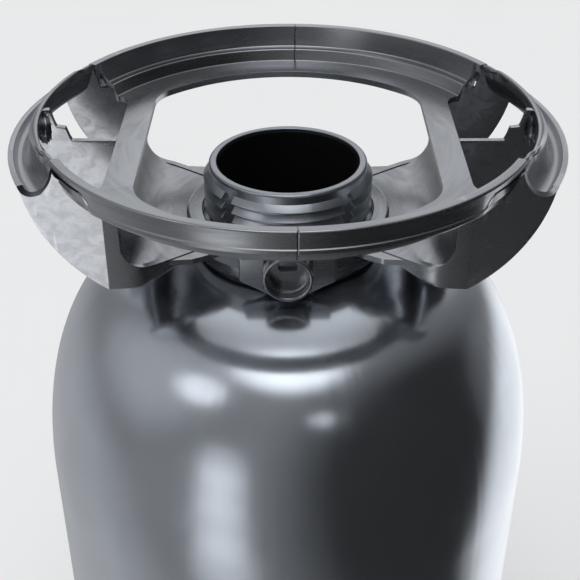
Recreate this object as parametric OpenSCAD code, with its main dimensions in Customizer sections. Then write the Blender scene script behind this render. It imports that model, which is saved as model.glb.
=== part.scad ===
// Blow-moulded beverage keg of about eight litres with a snap-on carry handle.
// Millimetres, +Z up. The origin is on the floor, on the axis of the neck.
// The front, where the socket is, faces -Y. The two grips are at -X and +X.

/* [Vessel] */
// Outer radius of the straight wall
body_r = 100; // [95:1:105]
// Height of the whole keg, from the feet to the top of the rim
overall_h = 380; // [340:5:480]
// Height of the domed shoulder
dome_h = 94; // [85:1:100]
// Thickness of the outer wall
wall_t = 1.6; // [1.2:0.1:2.4]
// Thickness of the black barrier layer inside the wall
liner_t = 0.8; // [0.6:0.1:1.2]
// Height of the five-footed base
base_h = 66; // [55:1:80]

/* [Neck] */
// Inner radius of the bare neck, inside the barrier layer
bore_r = 26.5; // [24:0.1:27]
// Outer radius of the smooth lip
lip_r = 29.5; // [29:0.1:30.2]
// Outer radius over the thread
thread_r = 31.7; // [31:0.1:31.9]
// Distance between two turns of the thread
thread_pitch = 3.9; // [3.5:0.1:4]
// Outer radius of the bead that holds the handle
bead_r = 34.5; // [34:0.1:35]

/* [Handle] */
// Outer radius of the rim
rim_r = 89.5; // [88:0.5:91]
// Outer radius over the grips
grip_r = 100; // [98:0.5:102]
// Half the width of the opening in the deck
opening_x = 52.5; // [48:0.5:54]
// Radius of the rounded front and back of the opening
opening_r = 67; // [64:0.5:69]
// Thickness of the plates and walls of the handle
plate_t = 2.2; // [1.8:0.1:2.6]
// Distance from the middle plane to the outer face of the front and rear gussets
gusset_y = 43.5; // [40:0.5:46]
// Gap between the handle and the neck
swivel_gap = 0.3; // [0.2:0.05:0.4]

/* [Hidden] */
$fn = 96;

vessel_colour = [0.62, 0.65, 0.69];
handle_colour = [0.46, 0.47, 0.49];

// Heights that hang from the top of the rim
mouth_z = overall_h - 20.4;
crown_z = overall_h - 56;
shoulder_z = crown_z - dome_h;
bead_top_z = overall_h - 43.6;
bead_h = 3.4;
deck_z = overall_h - 13;
ledge_z = overall_h - 8.5;
land_t = 2.4;
floor_z = overall_h - 42;
arm_bottom_z = overall_h - 52;
hub_top_z = overall_h - 39.5;
hub_bottom_z = crown_z + 0.8;
socket_z = overall_h - 44.9;

// ---- Vessel -------------------------------------------------------------

// The shoulder is flatter than a sphere: a curve with a power of 4.5 across and 2 up.
dome_power = 4.5;
dome_steps = 16;
neck_root_r = 30.6;
function dome_point(t, inset) = [
    (body_r - inset) * pow(1 - t * t, 1 / dome_power),
    shoulder_z + (dome_h - inset) * t];
function dome_curve(inset, end_r) =
    let (last = sqrt(1 - pow(end_r / (body_r - inset), dome_power)))
    [for (i = [0 : dome_steps]) dome_point(last * sin(90 * i / dome_steps), inset)];

// Feet: a rounded ring cut into five by valleys that fall towards the middle
foot_in_r = 50;
foot_out_r = 72;
feet = 5;
base_steps = 8;
base_power = 2.2;
centre_r = 12;
centre_rise = 9;
valley_top_w = 7;
valley_low_w = 25;
valley_depth = 75;
valley_slope = 22;
function base_curve(inset) = [for (i = [0 : base_steps])
    let (t = sin(90 * i / base_steps))
    [foot_out_r - inset / 2 + (body_r - foot_out_r - inset / 2) * pow(t, 1 / base_power),
     inset + (base_h - inset) * (1 - pow(1 - pow(t, base_power), 1 / base_power))]];

module base_valley(grow)
    translate([0, 0, centre_rise + 3 + grow]) rotate([90 - valley_slope, 0, 180])
        translate([0, 0, -6]) linear_extrude(body_r + 50) {
            translate([0, -valley_top_w - grow]) circle(r = valley_top_w + grow);
            polygon([[-valley_top_w - grow, -valley_top_w - grow], [valley_top_w + grow, -valley_top_w - grow],
                [valley_low_w + grow, -valley_depth], [-valley_low_w - grow, -valley_depth]]);
        }

// The vessel as a solid form, its faces set in by a distance: 0 for the outside
module vessel_form(inset, neck_r, top_z)
    difference() {
        rotate_extrude()
            polygon(concat([[0, centre_rise + inset], [centre_r, centre_rise + inset],
                [foot_in_r + inset / 2, inset]],
                base_curve(inset), dome_curve(inset, neck_r), [[neck_r, top_z], [0, top_z]]));
        for (i = [0 : feet - 1]) rotate([0, 0, i * 360 / feet]) base_valley(inset);
    }

// Neck finish: smooth lip, root of the thread and the bead under it
lip_h = 2.6;
bead_slope = 1.2;
module neck_outside()
    rotate_extrude()
        polygon([
            [bore_r, crown_z - 3], [neck_root_r, crown_z - 3],
            [neck_root_r, bead_top_z - bead_h - bead_slope],
            [bead_r, bead_top_z - bead_h], [bead_r, bead_top_z - 0.6], [bead_r - 0.6, bead_top_z],
            [lip_r, bead_top_z],
            [lip_r, mouth_z - 0.5], [lip_r - 0.5, mouth_z], [bore_r, mouth_z]]);

// The thread: level buttress ridges in four sectors, with a slot between sectors
thread_turns = 4;
thread_top_z = mouth_z - lip_h;
thread_sector = 81;
module thread_sectors()
    for (quarter = [0 : 3])
        rotate([0, 0, 45 + 90 * quarter + (90 - thread_sector) / 2])
            rotate_extrude(angle = thread_sector)
                for (turn = [0 : thread_turns - 1])
                    translate([0, thread_top_z - turn * thread_pitch])
                        polygon([[lip_r - 0.4, 0], [lip_r, 0],
                            [thread_r, -thread_pitch * 0.82], [thread_r, -thread_pitch * 0.94],
                            [lip_r, -thread_pitch], [lip_r - 0.4, -thread_pitch]]);

module keg_body()
    color(vessel_colour)
        difference() {
            union() {
                vessel_form(0, neck_root_r, crown_z);
                neck_outside();
                thread_sectors();
            }
            vessel_form(wall_t, bore_r, mouth_z + 1);
        }

// The black layer lines the whole wall and ends just below the lip
liner_drop = 0.8;
module barrier_liner()
    color([0.05, 0.05, 0.055])
        difference() {
            vessel_form(wall_t, bore_r, mouth_z - liner_drop);
            vessel_form(wall_t + liner_t, bore_r - liner_t, mouth_z + 1);
        }

// ---- Handle: rim and deck ------------------------------------------------

// Radii of the stepped rim, from the outside in
land_in_r = rim_r - 3.5;
ledge_out_r = rim_r - 5.1;
ledge_in_r = rim_r - 8.5;
deck_r = rim_r - 10.3;
skirt_drop = 8;
bead_proud = 0.4;
window_x = 63;
window_y = gusset_y - plate_t;
window_corner = 4;
// Half the angle of the outer skirt at the front and at the back
skirt_half = 46;
// Half the angle of the steps, which stop at the windows
step_half = 90 - asin(window_y / ledge_in_r);

module arc_pair(half)
    for (side = [-90, 90])
        rotate([0, 0, side - half])
            rotate_extrude(angle = 2 * half)
                children();

module rim_ring()
    color(handle_colour) {
        rotate_extrude()
            polygon([[land_in_r, overall_h], [rim_r - 0.5, overall_h], [rim_r, overall_h - 0.5],
                [rim_r, overall_h - land_t], [land_in_r, overall_h - land_t]]);
        arc_pair(skirt_half)
            translate([0, overall_h])
                polygon([[rim_r - plate_t, -land_t], [rim_r, -land_t], [rim_r, -6.2],
                    [rim_r + bead_proud, -6.5], [rim_r + bead_proud, -skirt_drop + 0.3],
                    [rim_r, -skirt_drop], [rim_r - plate_t, -skirt_drop]]);
        arc_pair(step_half)
            polygon([[land_in_r, overall_h - land_t], [land_in_r + 2.2, overall_h - land_t],
                [ledge_out_r + plate_t, ledge_z - plate_t], [ledge_in_r + 1.6, ledge_z - plate_t],
                [deck_r + 1.7, deck_z - plate_t], [deck_r, deck_z - plate_t], [deck_r, deck_z],
                [ledge_in_r, ledge_z], [ledge_out_r, ledge_z]]);
    }

// The opening: two arcs of the opening radius, joined to the straight sides by round corners
opening_corner = 18;
lip_drop = 3.2;
lip_w = 2;
opening_corner_y = sqrt(pow(opening_r - opening_corner, 2) - pow(opening_x - opening_corner, 2));
opening_corner_a = atan2(opening_corner_y, opening_x - opening_corner);

module opening(grow) {
    square([2 * (opening_x + grow), 2 * opening_corner_y], center = true);
    for (sx = [-1, 1], sy = [-1, 1])
        translate([sx * (opening_x - opening_corner), sy * opening_corner_y])
            circle(r = opening_corner + grow);
    intersection() {
        circle(r = opening_r + grow);
        for (sy = [-1, 1])
            polygon([[0, 0], [2 * opening_r * cos(opening_corner_a), sy * 2 * opening_r * sin(opening_corner_a)],
                [-2 * opening_r * cos(opening_corner_a), sy * 2 * opening_r * sin(opening_corner_a)]]);
    }
}

// The two side windows, with round corners next to the deck
module window_shape()
    for (side = [-1, 1])
        translate([side * (window_x + 30), 0])
            difference() {
                square([60, 2 * window_y], center = true);
                for (end = [-1, 1])
                    translate([-side * 30, end * window_y])
                        difference() {
                            square(2 * window_corner, center = true);
                            translate([side * window_corner, -end * window_corner])
                                circle(r = window_corner);
                        }
            }

module top_deck()
    color(handle_colour) {
        translate([0, 0, deck_z - plate_t])
            linear_extrude(plate_t)
                difference() {
                    circle(r = deck_r);
                    opening(0);
                    window_shape();
                }
        translate([0, 0, deck_z - plate_t - lip_drop])
            linear_extrude(lip_drop)
                difference() {
                    opening(lip_w);
                    opening(0);
                    square([3 * opening_x, 2 * gusset_y], center = true);
                }
    }

// ---- Handle: hub and socket ----------------------------------------------

hub_r = 38.5;
hub_in_r = thread_r + swivel_gap + 0.2;
block_w = 35;
block_y = 39;
socket_r = 8.9;
socket_bore_r = 7.5;
socket_face_y = 46;
socket_floor_y = 37;
socket_back_y = 35.4;
slot_w = 7.2;
slot_h = 2.6;

module front_cylinder(r, near_y, far_y)
    translate([0, -near_y, socket_z]) rotate([-90, 0, 0]) cylinder(r = r, h = near_y - far_y);

module neck_hub()
    color(handle_colour)
        difference() {
            union() {
                rotate_extrude()
                    polygon([[hub_in_r - 1, hub_bottom_z], [hub_r - 2.5, hub_bottom_z],
                        [hub_r, hub_bottom_z + 5], [hub_r, hub_top_z - 2], [hub_r - 1.4, hub_top_z],
                        [hub_in_r - 1, hub_top_z]]);
                translate([-block_w / 2, -block_y, hub_bottom_z])
                    cube([block_w, block_y - 10, hub_top_z - hub_bottom_z]);
            }
            translate([0, 0, hub_bottom_z - 1]) cylinder(r = hub_in_r, h = 30);
            translate([0, 0, bead_top_z - bead_h - bead_slope - swivel_gap])
                cylinder(r = bead_r + swivel_gap, h = bead_h + bead_slope + 2 * swivel_gap);
            front_cylinder(socket_r, socket_face_y, socket_back_y);
        }

module front_socket()
    color(handle_colour)
        difference() {
            front_cylinder(socket_r, socket_face_y, socket_back_y);
            front_cylinder(socket_bore_r, socket_face_y + 1, socket_floor_y);
            translate([-slot_w / 2, -socket_floor_y - 1, socket_z + 1.4])
                cube([slot_w, 10, slot_h]);
        }

// ---- Handle: arms ----------------------------------------------------------

wall_x = window_x - 2.4;
arm_knee_x = 50;
arm_root_x = 27;
arm_root_y = 26;
scoop_r = 14;
flange_t = 2.4;
strip_w = 5.2;

// Plan of the left arm: full width under the deck, then narrowing to the hub
module arm_plan()
    difference() {
        polygon([[-window_x, -gusset_y], [-arm_knee_x, -gusset_y], [-arm_root_x, -arm_root_y],
            [-arm_root_x, arm_root_y], [-arm_knee_x, gusset_y], [-window_x, gusset_y]]);
        circle(r = hub_r);
    }

// The space left between the two flanges, below the floor
module arm_inner_plan()
    polygon([[-window_x + flange_t, -gusset_y + flange_t], [-arm_knee_x - 1, -gusset_y + flange_t],
        [-arm_root_x + 5, -arm_root_y + flange_t + 3], [-arm_root_x + 5, arm_root_y - flange_t - 3],
        [-arm_knee_x - 1, gusset_y - flange_t], [-window_x + flange_t, gusset_y - flange_t]]);

module left_arm()
    color(handle_colour) {
        // Wall, scooped floor and the strips that edge the wall
        difference() {
            intersection() {
                translate([0, 0, floor_z - plate_t])
                    linear_extrude(deck_z - floor_z) arm_plan();
                translate([0, gusset_y, 0]) rotate([90, 0, 0])
                    linear_extrude(2 * gusset_y)
                        difference() {
                            translate([-window_x, floor_z - plate_t])
                                square([window_x, deck_z - floor_z]);
                            difference() {
                                translate([-wall_x, floor_z]) square([window_x, overall_h - floor_z]);
                                difference() {
                                    translate([-wall_x, floor_z]) square(scoop_r);
                                    translate([-wall_x + scoop_r, floor_z + scoop_r]) circle(r = scoop_r);
                                }
                            }
                        }
            }
        }
        for (end = [-1, 1])
            translate([-window_x, end > 0 ? gusset_y - flange_t : -gusset_y, floor_z])
                cube([strip_w, flange_t, deck_z - plate_t - floor_z]);
        // Flanges below the floor
        translate([0, 0, arm_bottom_z])
            linear_extrude(floor_z - plate_t - arm_bottom_z)
                difference() {
                    arm_plan();
                    arm_inner_plan();
                }
    }

module right_arm() mirror([1, 0, 0]) left_arm();

// ---- Handle: grips ---------------------------------------------------------

valley_r = rim_r + 6.8;
edge_drop = 0.5;
valley_drop = 11.3;
grip_lip_drop = 9.3;
trough_steps = 8;
grip_half = asin(gusset_y / grip_r);
// The trough: down from the rim in a quarter of an ellipse, and up again to the outer lip
function trough(drop) = concat(
    [for (i = [0 : trough_steps]) let (t = 90 * i / trough_steps)
        [valley_r - (valley_r - rim_r) * cos(t),
         overall_h - drop - edge_drop - (valley_drop - edge_drop) * sin(t)]],
    [for (i = [1 : trough_steps / 2]) let (t = 180 * i / trough_steps)
        [valley_r + (grip_r - valley_r) * sin(t),
         overall_h - drop - grip_lip_drop - (valley_drop - grip_lip_drop) * cos(t)]]);

module grip_section()
    polygon(concat(trough(0), [for (i = [len(trough(0)) - 1 : -1 : 0]) trough(plate_t)[i]]));

module grip(side)
    color(handle_colour)
        rotate([0, 0, side > 0 ? -grip_half : 180 - grip_half])
            rotate_extrude(angle = 2 * grip_half)
                grip_section();

module left_grip() grip(-1);
module right_grip() grip(1);

// ---- Handle: gussets -------------------------------------------------------

// Arcs of the lower edge: [distance of the centre from the axis, drop of the centre, radius]
end_arc = [32.4, 1, 58];
middle_arc = [50, 4, 48.6];

// All that lies above the underside of the rim, deck and grips
module above_rim(deck_top, ledge_top)
    rotate_extrude()
        polygon(concat(
            [[0, overall_h + 1], [0, deck_top], [deck_r + 1.7 * (deck_z - deck_top) / plate_t, deck_top],
                [ledge_in_r + 1.6 * (ledge_z - ledge_top) / plate_t, ledge_top],
                [ledge_out_r + ledge_z - ledge_top, ledge_top],
                [land_in_r + 2.2 * (ledge_z - ledge_top) / plate_t, overall_h - land_t],
                [rim_r, overall_h - land_t]],
            trough(plate_t),
            [[grip_r + 10, overall_h - grip_lip_drop - plate_t], [grip_r + 10, overall_h + 1]]));

module gusset_plate(arc, low_y)
    translate([0, low_y + plate_t, 0]) rotate([90, 0, 0])
        linear_extrude(plate_t)
            intersection() {
                translate([-arc[0], overall_h - arc[1]]) circle(r = arc[2]);
                translate([-grip_r - 10, arm_bottom_z - 10])
                    square([grip_r + 10 - window_x, overall_h - arm_bottom_z + 9]);
            }

module end_gusset(low_y)
    color(handle_colour)
        difference() {
            gusset_plate(end_arc, low_y);
            above_rim(deck_z - plate_t, ledge_z - plate_t);
            difference() {
                cylinder(r = grip_r + 30, h = overall_h + 30);
                translate([0, 0, -1]) cylinder(r = grip_r, h = overall_h + 40);
            }
        }

// The middle gusset follows the steps of the rim
module middle_gusset()
    color(handle_colour)
        difference() {
            gusset_plate(middle_arc, -plate_t / 2);
            above_rim(deck_z, ledge_z);
        }

module left_front_gusset() end_gusset(-gusset_y);
module left_rear_gusset() end_gusset(gusset_y - plate_t);
module left_middle_gusset() middle_gusset();
module right_front_gusset() mirror([1, 0, 0]) end_gusset(-gusset_y);
module right_rear_gusset() mirror([1, 0, 0]) end_gusset(gusset_y - plate_t);
module right_middle_gusset() mirror([1, 0, 0]) middle_gusset();

keg_body();
barrier_liner();
rim_ring();
top_deck();
neck_hub();
front_socket();
left_arm();
right_arm();
left_grip();
right_grip();
left_front_gusset();
left_middle_gusset();
left_rear_gusset();
right_front_gusset();
right_middle_gusset();
right_rear_gusset();
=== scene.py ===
import math

import bmesh
import bpy
from bpy.props import FloatProperty, FloatVectorProperty, IntProperty, PointerProperty
from mathutils import Matrix, Vector


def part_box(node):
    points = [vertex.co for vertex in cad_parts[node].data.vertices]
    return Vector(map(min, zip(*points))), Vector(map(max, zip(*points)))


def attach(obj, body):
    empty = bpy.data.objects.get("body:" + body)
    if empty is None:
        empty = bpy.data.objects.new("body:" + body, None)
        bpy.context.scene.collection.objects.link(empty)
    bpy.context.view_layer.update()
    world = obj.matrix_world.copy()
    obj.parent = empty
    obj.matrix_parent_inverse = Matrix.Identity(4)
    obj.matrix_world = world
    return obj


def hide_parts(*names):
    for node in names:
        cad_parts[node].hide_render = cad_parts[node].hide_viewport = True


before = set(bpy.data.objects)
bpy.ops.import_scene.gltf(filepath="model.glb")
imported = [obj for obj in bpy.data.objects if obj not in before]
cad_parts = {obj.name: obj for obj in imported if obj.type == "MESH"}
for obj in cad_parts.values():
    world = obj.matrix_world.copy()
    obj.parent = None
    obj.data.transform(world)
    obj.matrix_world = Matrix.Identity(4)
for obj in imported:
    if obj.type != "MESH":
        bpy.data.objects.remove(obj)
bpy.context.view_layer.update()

bl_info = {
    "name": "Beverage keg with carry handle",
    "version": (1, 0, 0),
    "blender": (4, 5, 0),
    "location": "View3D > Sidebar > Keg",
    "description": "Builds a blow-moulded keg, its open threaded neck and its snap-on handle",
    "category": "Object",
}

# Everything below is worked out in millimetres, heights from the floor, and scaled at the end.
MM = 0.001
RIM_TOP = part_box("rim_ring")[1].z / MM
DECK_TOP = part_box("top_deck")[1].z / MM
HUB_BOTTOM, HUB_TOP = (corner.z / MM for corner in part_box("neck_hub"))
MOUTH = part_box("keg_body")[1].z / MM
ARM_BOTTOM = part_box("left_arm")[0].z / MM
RIM_R = (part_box("rim_ring")[1].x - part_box("rim_ring")[0].x) / 2 / MM
GRIP_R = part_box("right_grip")[1].x / MM
BODY_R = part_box("keg_body")[1].x / MM
GUSSET_Y = -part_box("left_front_gusset")[0].y / MM


def length(label, default, detail):
    """A size in metres, shown in the sidebar."""
    return FloatProperty(name=label, description=detail, default=default * MM,
                         min=0.0, precision=4, unit="LENGTH")


def share(label, default, detail):
    """A number from 0 to 1, shown as a slider."""
    return FloatProperty(name=label, description=detail, default=default,
                         min=0.0, max=1.0, subtype="FACTOR")


def colour(label, default, detail):
    """A colour, shown as a swatch."""
    return FloatVectorProperty(name=label, description=detail, default=default, size=3,
                               min=0.0, max=1.0, subtype="COLOR")


class KegVesselSettings(bpy.types.PropertyGroup):
    """Sizes and finish of the blow-moulded vessel."""

    body_radius: length("Body radius", BODY_R, "Outer radius of the straight wall")
    dome_height: length("Dome height", 94, "Height of the domed shoulder")
    base_height: length("Base height", 66, "Height of the five-footed base")
    wall: length("Wall", 1.6, "Thickness of the outer wall")
    liner: length("Barrier layer", 0.8, "Thickness of the black inner layer")
    bore_radius: length("Bore radius", 26.5, "Inner radius of the bare neck")
    thread_radius: length("Thread radius", 31.7, "Outer radius over the thread")
    thread_pitch: length("Thread pitch", 3.9, "Height of one turn of the thread")
    feet: IntProperty(name="Feet", description="Number of feet moulded in the base",
                      default=5, min=3, max=8)
    shell_colour: colour("Shell colour", (0.58, 0.62, 0.68), "Colour of the silver shell")
    shell_roughness: share("Shell roughness", 0.2, "Roughness of the silver shell")
    liner_colour: colour("Layer colour", (0.006, 0.006, 0.007), "Colour of the inner layer")


class KegHandleSettings(bpy.types.PropertyGroup):
    """Sizes and finish of the moulded handle."""

    rim_radius: length("Rim radius", 89.5, "Outer radius of the rim")
    grip_radius: length("Grip radius", GRIP_R, "Outer radius over the two grips")
    plate: length("Plate", 2.2, "Thickness of the plates and ribs")
    opening_width: length("Opening width", 105, "Width of the opening in the deck")
    opening_length: length("Opening length", 134, "Length of the opening, front to back")
    handle_colour: colour("Handle colour", (0.34, 0.35, 0.37), "Colour of the grey moulding")
    handle_roughness: share("Handle roughness", 0.2, "Roughness of the grey moulding")
    flow_marks: share("Flow marks", 0.6, "Strength of the streaks of pigment")


class KegStudioSettings(bpy.types.PropertyGroup):
    """Light and floor of the studio."""

    floor_colour: colour("Floor colour", (0.80, 0.80, 0.80), "Colour of the plain floor")
    ceiling_light: FloatProperty(name="Ceiling", description="Strength of the light overhead",
                                 default=1.5, min=0.0, soft_max=10.0)
    card_power: FloatProperty(name="Left card", description="Power of the small card on the left",
                              default=0.045, min=0.0, unit="POWER")
    surround: FloatProperty(name="Surround", description="Brightness of the studio's walls",
                            default=0.25, min=0.0, soft_max=2.0)


# ---- Shaping ---------------------------------------------------------------

def in_mm(settings):
    """Every length in a group of settings, in millimetres."""
    return {prop.identifier: getattr(settings, prop.identifier) / MM
            for prop in settings.bl_rna.properties if prop.unit == "LENGTH"}


def rounded(corners, steps=4):
    """The outline through (a, b, radius) corners, each one turned with an arc."""
    outline = []
    for i, (a, b, radius) in enumerate(corners):
        here = Vector((a, b))
        back = Vector(corners[i - 1][:2]) - here
        ahead = Vector(corners[(i + 1) % len(corners)][:2]) - here
        if radius <= 0:
            outline.append(here)
            continue
        half = back.angle(ahead) / 2
        reach = min(radius / math.tan(half), 0.49 * back.length, 0.49 * ahead.length)
        inwards = (back.normalized() + ahead.normalized()).normalized()
        middle = here + inwards * reach / math.cos(half)
        start, end = (here + side.normalized() * reach - middle for side in (back, ahead))
        turn = start.angle_signed(end)
        for k in range(steps + 1):
            spoke = Matrix.Rotation(-turn * k / steps, 2) @ start
            outline.append(middle + spoke)
    return outline


def arc_points(centre, radius, start, end, steps):
    """Points along an arc, angles in degrees."""
    return [Vector((centre[0] + radius * math.cos(math.radians(start + (end - start) * k / steps)),
                    centre[1] + radius * math.sin(math.radians(start + (end - start) * k / steps))))
            for k in range(steps + 1)]


def smooth(value, low, high):
    """0 below low, 1 above high, and an even S between them."""
    t = min(max((value - low) / (high - low), 0.0), 1.0)
    return t * t * (3 - 2 * t)


def faced(bm):
    """Merges doubles and turns the faces outwards."""
    bmesh.ops.remove_doubles(bm, verts=bm.verts[:], dist=1e-4)
    bmesh.ops.recalc_face_normals(bm, faces=bm.faces[:])
    return bm


def spun(outline, start=0.0, sweep=360.0, steps=192, around=(0, 0)):
    """A closed outline of (radius, height) points, spun about a vertical axis."""
    bm = bmesh.new()
    verts = [bm.verts.new((around[0] + r, around[1], z)) for r, z in outline]
    face = bm.faces.new(verts)
    axis_at = Vector((around[0], around[1], 0))
    bmesh.ops.rotate(bm, verts=verts, cent=axis_at,
                     matrix=Matrix.Rotation(math.radians(start), 3, "Z"))
    full = sweep >= 360
    geom = list(face.edges) + verts + ([] if full else [face])
    if full:
        bmesh.ops.delete(bm, geom=[face], context="FACES_ONLY")
    bmesh.ops.spin(bm, geom=geom, cent=axis_at, axis=(0, 0, 1), angle=math.radians(sweep),
                   steps=steps, use_merge=full)
    return faced(bm)


def skin(profile, steps=240):
    """An open profile of (radius, height) points, spun into an open skin."""
    bm = bmesh.new()
    verts = [bm.verts.new((r, 0, z)) for r, z in profile]
    edges = [bm.edges.new(pair) for pair in zip(verts, verts[1:])]
    bmesh.ops.spin(bm, geom=verts + edges, cent=(0, 0, 0), axis=(0, 0, 1),
                   angle=math.tau, steps=steps, use_merge=True)
    bmesh.ops.remove_doubles(bm, verts=bm.verts[:], dist=1e-4)
    return bm


def plate_of(outline, hole=None, low=0.0, high=1.0):
    """A flat plate between two heights, with one hole if an outline for it is given."""
    bm = bmesh.new()
    loops = []
    for points in ([outline, hole] if hole else [outline]):
        verts = [bm.verts.new((x, y, low)) for x, y in points]
        loops.append([bm.edges.new((verts[i - 1], verts[i])) for i in range(len(verts))])
    if hole:
        made = bmesh.ops.bridge_loops(bm, edges=loops[0] + loops[1])["faces"]
    else:
        made = bmesh.ops.contextual_create(bm, geom=loops[0])["faces"]
    top = bmesh.ops.extrude_face_region(bm, geom=made, use_keep_orig=True)["geom"]
    bmesh.ops.translate(bm, verts=[v for v in top if isinstance(v, bmesh.types.BMVert)],
                        vec=(0, 0, high - low))
    return faced(bm)


def sheet_of(columns, rows, place, thickness):
    """A grid bent through place(u, v), u and v from 0 to 1, and given a thickness."""
    bm = bmesh.new()
    bmesh.ops.create_grid(bm, x_segments=columns, y_segments=rows, size=0.5)
    for v in bm.verts:
        v.co = Vector(place(v.co.x + 0.5, v.co.y + 0.5))
    bmesh.ops.remove_doubles(bm, verts=bm.verts[:], dist=1e-4)
    bmesh.ops.solidify(bm, geom=bm.faces[:], thickness=thickness)
    return faced(bm)


def soften(bm, radius, segments=2, corner=38):
    """Rounds every edge that turns by more than corner degrees."""
    sharp = [e for e in bm.edges
             if e.is_manifold and e.calc_face_angle(0.0) > math.radians(corner)]
    bmesh.ops.bevel(bm, geom=sharp, offset=radius, offset_type="OFFSET", segments=segments,
                    profile=0.5, affect="EDGES", clamp_overlap=True, material=-1)
    return bm


def block(low, high):
    """A block between two corners, its faces not yet turned outwards."""
    bm = bmesh.new()
    bmesh.ops.create_cube(bm, size=1.0)
    for v in bm.verts:
        v.co = Vector([b if side > 0 else a for a, b, side in zip(low, high, v.co)])
    return bm


def merged(shapes):
    """One bmesh of several, which are used up."""
    whole = bmesh.new()
    for bm in shapes:
        part = bpy.data.meshes.new("part")
        bm.to_mesh(part)
        bm.free()
        whole.from_mesh(part)
        bpy.data.meshes.remove(part)
    return whole


def mirrored(bm):
    """The same shape on the other side of the middle plane."""
    for v in bm.verts:
        v.co.x = -v.co.x
    bmesh.ops.reverse_faces(bm, faces=bm.faces[:])
    return bm


def piece(name, shapes, body, node, material, sharp_above=50.0):
    """One object from finished shapes: in metres, on its body, in place of its CAD node."""
    whole = merged(shapes)
    bmesh.ops.scale(whole, vec=(MM, MM, MM), verts=whole.verts[:])
    for face in whole.faces:
        face.smooth = True
    for edge in whole.edges:
        if edge.is_manifold and edge.calc_face_angle(0.0) > math.radians(sharp_above):
            edge.smooth = False
    mesh = bpy.data.meshes.new(name)
    whole.to_mesh(mesh)
    whole.free()
    mesh.materials.append(material)
    made = bpy.data.objects.new(name, mesh)
    bpy.context.scene.collection.objects.link(made)
    even = made.modifiers.new("Even shading", "WEIGHTED_NORMAL")
    even.keep_sharp = True
    even.weight = 80
    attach(made, body)
    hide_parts(node)
    return made


# ---- Finishes --------------------------------------------------------------

class Finish:
    """A material under construction: adds nodes and joins them."""

    def __init__(self, name):
        self.material = bpy.data.materials.new(name)
        self.material.use_nodes = True
        self.tree = self.material.node_tree
        self.shader = self.tree.nodes["Principled BSDF"]
        self.object = self.node("ShaderNodeTexCoord").outputs["Object"]

    def node(self, kind, settings=None, **inputs):
        """A node: settings are its properties, inputs its sockets by name or by place."""
        made = self.tree.nodes.new(kind)
        for key, value in (settings or {}).items():
            setattr(made, key, value)
        for key, value in inputs.items():
            socket = made.inputs[int(key[1:])] if key[0] == "i" and key[1:].isdigit() \
                else made.inputs[key]
            self.feed(socket, value)
        return made

    def feed(self, socket, value):
        """Sets a socket to a plain value, or links an output to it."""
        if isinstance(value, bpy.types.NodeSocket):
            self.tree.links.new(value, socket)
        else:
            socket.default_value = value

    def sum(self, operation, a, b=0.0, c=0.0):
        """One Math node."""
        return self.node("ShaderNodeMath", {"operation": operation}, i0=a, i1=b, i2=c).outputs[0]

    def ramp(self, value, low, high, start=0.0, end=1.0):
        """Value from low to high, turned smoothly into start to end."""
        return self.node("ShaderNodeMapRange", {"interpolation_type": "SMOOTHSTEP"},
                         Value=value, i1=low, i2=high, i3=start, i4=end).outputs[0]

    def grain(self, where, scale, detail=3.0, roughness=0.55, distortion=0.0):
        """Noise from 0 to 1 at so many cells per metre."""
        return self.node("ShaderNodeTexNoise", Vector=where, Scale=scale, Detail=detail,
                         Roughness=roughness, Distortion=distortion).outputs["Fac"]

    def blend(self, factor, first, second):
        """A colour between two."""
        mix = self.node("ShaderNodeMix", {"data_type": "RGBA"})
        self.feed(mix.inputs[0], factor)
        self.feed(mix.inputs[6], first)
        self.feed(mix.inputs[7], second)
        return mix.outputs[2]

    def relief(self, height, strength, depth, below=None):
        """A bump from a height, on top of another one."""
        bump = self.node("ShaderNodeBump", Strength=strength, Distance=depth, Height=height)
        if below:
            self.feed(bump.inputs["Normal"], below)
        return bump.outputs["Normal"]

    def around(self, radius_scale, angle_scale, height_scale):
        """Coordinates that run round the axis of the keg, so a pattern follows the turns."""
        x, y, z = self.node("ShaderNodeSeparateXYZ", i0=self.object).outputs
        radius = self.sum("SQRT", self.sum("ADD", self.sum("MULTIPLY", x, x),
                                           self.sum("MULTIPLY", y, y)))
        angle = self.sum("ARCTAN2", y, x)
        return self.node("ShaderNodeCombineXYZ", i0=self.sum("MULTIPLY", radius, radius_scale),
                         i1=self.sum("MULTIPLY", angle, angle_scale),
                         i2=self.sum("MULTIPLY", z, height_scale)).outputs[0]


def rgba(values, factor=1.0):
    """A colour with its alpha, brightened by a factor."""
    return (*(min(v * factor, 1.0) for v in values), 1.0)


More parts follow.
